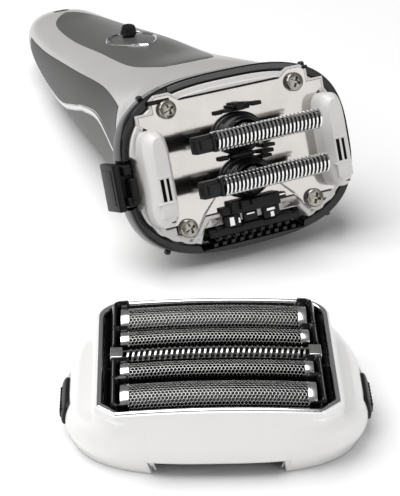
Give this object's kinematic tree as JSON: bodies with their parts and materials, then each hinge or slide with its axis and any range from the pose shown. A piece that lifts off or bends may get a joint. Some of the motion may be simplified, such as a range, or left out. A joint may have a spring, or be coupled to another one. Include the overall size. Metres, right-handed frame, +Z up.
{
  "type": "foil electric shaver",
  "caption": "Cordless foil shaver lying on its back, foil head taken off and set in front: sliding switch, swinging inner blades, sprung foils and a slide-out trimmer.",
  "frame": {"origin": "on the table under the middle of the handle and foil head together", "axes": "+Y along the handle from its head to its tail, +X to the right seen from the head, +Z up"},
  "size_m": [0.1156, 0.2366, 0.0479],
  "materials": {
    "silver_shell": "satin metallic lacquer",
    "graphite_panel": "brushed dark metallic",
    "grip_rubber": "soft-touch, fine texture",
    "rear_rubber": "soft-touch",
    "chrome": "polished",
    "mirror_steel": "polished sheet",
    "screw_steel": "plain",
    "blade_steel": "ground",
    "foil_steel": "fine perforated sheet",
    "gloss_black": "glossy",
    "matte_black": "satin",
    "boot_rubber": "matt",
    "off_white": "satin",
    "pearl": "pearl lacquer",
    "spring_steel": "drawn wire",
    "motor_steel": "pressed sheet",
    "copper": "enamelled winding",
    "board": "solder resist",
    "cell": "shrink sleeve"
  },
  "bodies": {
    "handle": {"front_shell": "silver_shell", "rear_shell": "silver_shell", "front_panel": "graphite_panel", "left_grip": "grip_rubber", "right_grip": "grip_rubber", "rear_grip": "rear_rubber", "wave_trim_left": "chrome", "wave_trim_right": "chrome", "chrome_ring": "chrome", "charge_pin_1": "chrome", "charge_pin_2": "chrome", "switch_dish": "gloss_black", "charge_light_window": "gloss_black", "tail_cap": "gloss_black", "head_rim": "matte_black", "drive_plate": "mirror_steel", "plate_screw_1": "screw_steel", "plate_screw_2": "screw_steel", "plate_screw_3": "screw_steel", "plate_screw_4": "screw_steel", "upper_boot": "boot_rubber", "lower_boot": "boot_rubber", "head_base": "off_white", "left_guide": "off_white", "right_guide": "off_white", "blade_spring_1": "spring_steel", "blade_spring_2": "spring_steel", "latch_spring": "spring_steel", "motor_frame": "motor_steel", "motor_coil": "copper", "circuit_board": "board", "battery": "cell"},
    "switch": {"switch_knob": "matte_black"},
    "drive_1": {"armature_1": "motor_steel"},
    "drive_2": {"armature_2": "motor_steel"},
    "blade_1": {"blade_holder_1": "matte_black", "inner_blade_1": "blade_steel"},
    "blade_2": {"blade_holder_2": "matte_black", "inner_blade_2": "blade_steel"},
    "latch": {"frame_latch": "matte_black"},
    "trimmer": {"trimmer_carriage": "matte_black", "trimmer_comb": "blade_steel", "trimmer_button": "matte_black"},
    "trimmer_cutter": {"trimmer_blade": "blade_steel"},
    "foil_head": {"foil_frame": "pearl", "foil_bezel": "chrome", "foil_cassette": "gloss_black"},
    "release_left": {"left_release": "matte_black"},
    "release_right": {"right_release": "matte_black"},
    "float_rear": {"foil_rear": "foil_steel"},
    "float_inner_rear": {"foil_inner_rear": "foil_steel"},
    "float_comb": {"comb": "foil_steel"},
    "float_inner_front": {"foil_inner_front": "foil_steel"},
    "float_front": {"foil_front": "foil_steel"},
    "cutting_rear": {"cutter_rear": "blade_steel"},
    "cutting_front": {"cutter_front": "blade_steel"},
    "cutting_slit": {"slit_cutter": "blade_steel"}
  },
  "joints": [
    {"name": "power_switch", "type": "slide", "parent": "handle", "child": "switch", "axis": [0, -1, 0], "range_m": [0, 0.004]},
    {"name": "drive_1_stroke", "type": "slide", "parent": "handle", "child": "drive_1", "axis": [1, 0, 0], "range_m": [-0.001, 0.001], "stiffness_N_per_m": 300},
    {"name": "drive_2_stroke", "type": "slide", "parent": "handle", "child": "drive_2", "axis": [1, 0, 0], "range_m": [-0.001, 0.001], "stiffness_N_per_m": 300},
    {"name": "blade_1_float", "type": "slide", "parent": "drive_1", "child": "blade_1", "axis": [0, -0.9135, 0.4067], "range_m": [-0.0015, 0], "stiffness_N_per_m": 400, "springref_m": 0.002, "deforming": ["blade_spring_1"]},
    {"name": "blade_2_float", "type": "slide", "parent": "drive_2", "child": "blade_2", "axis": [0, -0.9135, 0.4067], "range_m": [-0.0015, 0], "stiffness_N_per_m": 400, "springref_m": 0.002, "deforming": ["blade_spring_2"]},
    {"name": "latch_press", "type": "slide", "parent": "handle", "child": "latch", "axis": [1, 0, 0], "range_m": [0, 0.0012], "stiffness_N_per_m": 400, "springref_m": -0.0015, "deforming": ["latch_spring"]},
    {"name": "trimmer_slide", "type": "slide", "parent": "handle", "child": "trimmer", "axis": [0, -1, 0], "range_m": [0, 0.007]},
    {"name": "trimmer_stroke", "type": "slide", "parent": "trimmer", "child": "trimmer_cutter", "axis": [1, 0, 0], "range_m": [-0.0008, 0.0008], "stiffness_N_per_m": 150},
    {"name": "foil_head_lift", "type": "slide", "parent": "handle", "child": "foil_head", "axis": [0, 0, 1], "range_m": [0, 0.09]},
    {"name": "left_release_press", "type": "slide", "parent": "foil_head", "child": "release_left", "axis": [0.9085, -0.4179, 0], "range_m": [0, 0.001], "stiffness_N_per_m": 400, "springref_m": -0.0015},
    {"name": "right_release_press", "type": "slide", "parent": "foil_head", "child": "release_right", "axis": [-0.9085, 0.4179, 0], "range_m": [0, 0.001], "stiffness_N_per_m": 400, "springref_m": -0.0015},
    {"name": "foil_rear_float", "type": "slide", "parent": "foil_head", "child": "float_rear", "axis": [0, 0, -1], "range_m": [0, 0.0012], "stiffness_N_per_m": 400, "springref_m": -0.002},
    {"name": "foil_inner_rear_float", "type": "slide", "parent": "foil_head", "child": "float_inner_rear", "axis": [0, 0, -1], "range_m": [0, 0.0012], "stiffness_N_per_m": 400, "springref_m": -0.002},
    {"name": "comb_float", "type": "slide", "parent": "foil_head", "child": "float_comb", "axis": [0, 0, -1], "range_m": [0, 0.0012], "stiffness_N_per_m": 400, "springref_m": -0.002},
    {"name": "foil_inner_front_float", "type": "slide", "parent": "foil_head", "child": "float_inner_front", "axis": [0, 0, -1], "range_m": [0, 0.0012], "stiffness_N_per_m": 400, "springref_m": -0.002},
    {"name": "foil_front_float", "type": "slide", "parent": "foil_head", "child": "float_front", "axis": [0, 0, -1], "range_m": [0, 0.0012], "stiffness_N_per_m": 400, "springref_m": -0.002},
    {"name": "cutter_rear_stroke", "type": "slide", "parent": "float_rear", "child": "cutting_rear", "axis": [0.9085, -0.4179, 0], "range_m": [-0.001, 0.001], "stiffness_N_per_m": 150},
    {"name": "cutter_front_stroke", "type": "slide", "parent": "float_front", "child": "cutting_front", "axis": [0.9085, -0.4179, 0], "range_m": [-0.001, 0.001], "stiffness_N_per_m": 150},
    {"name": "cutter_slit_stroke", "type": "slide", "parent": "float_comb", "child": "cutting_slit", "axis": [0.9085, -0.4179, 0], "range_m": [-0.001, 0.001], "stiffness_N_per_m": 150}
  ],
  "couplings": [
    {"joint": "drive_2_stroke", "follows": "drive_1_stroke", "ratio": -1},
    {"joint": "trimmer_stroke", "follows": "drive_1_stroke", "ratio": 0.8}
  ]
}
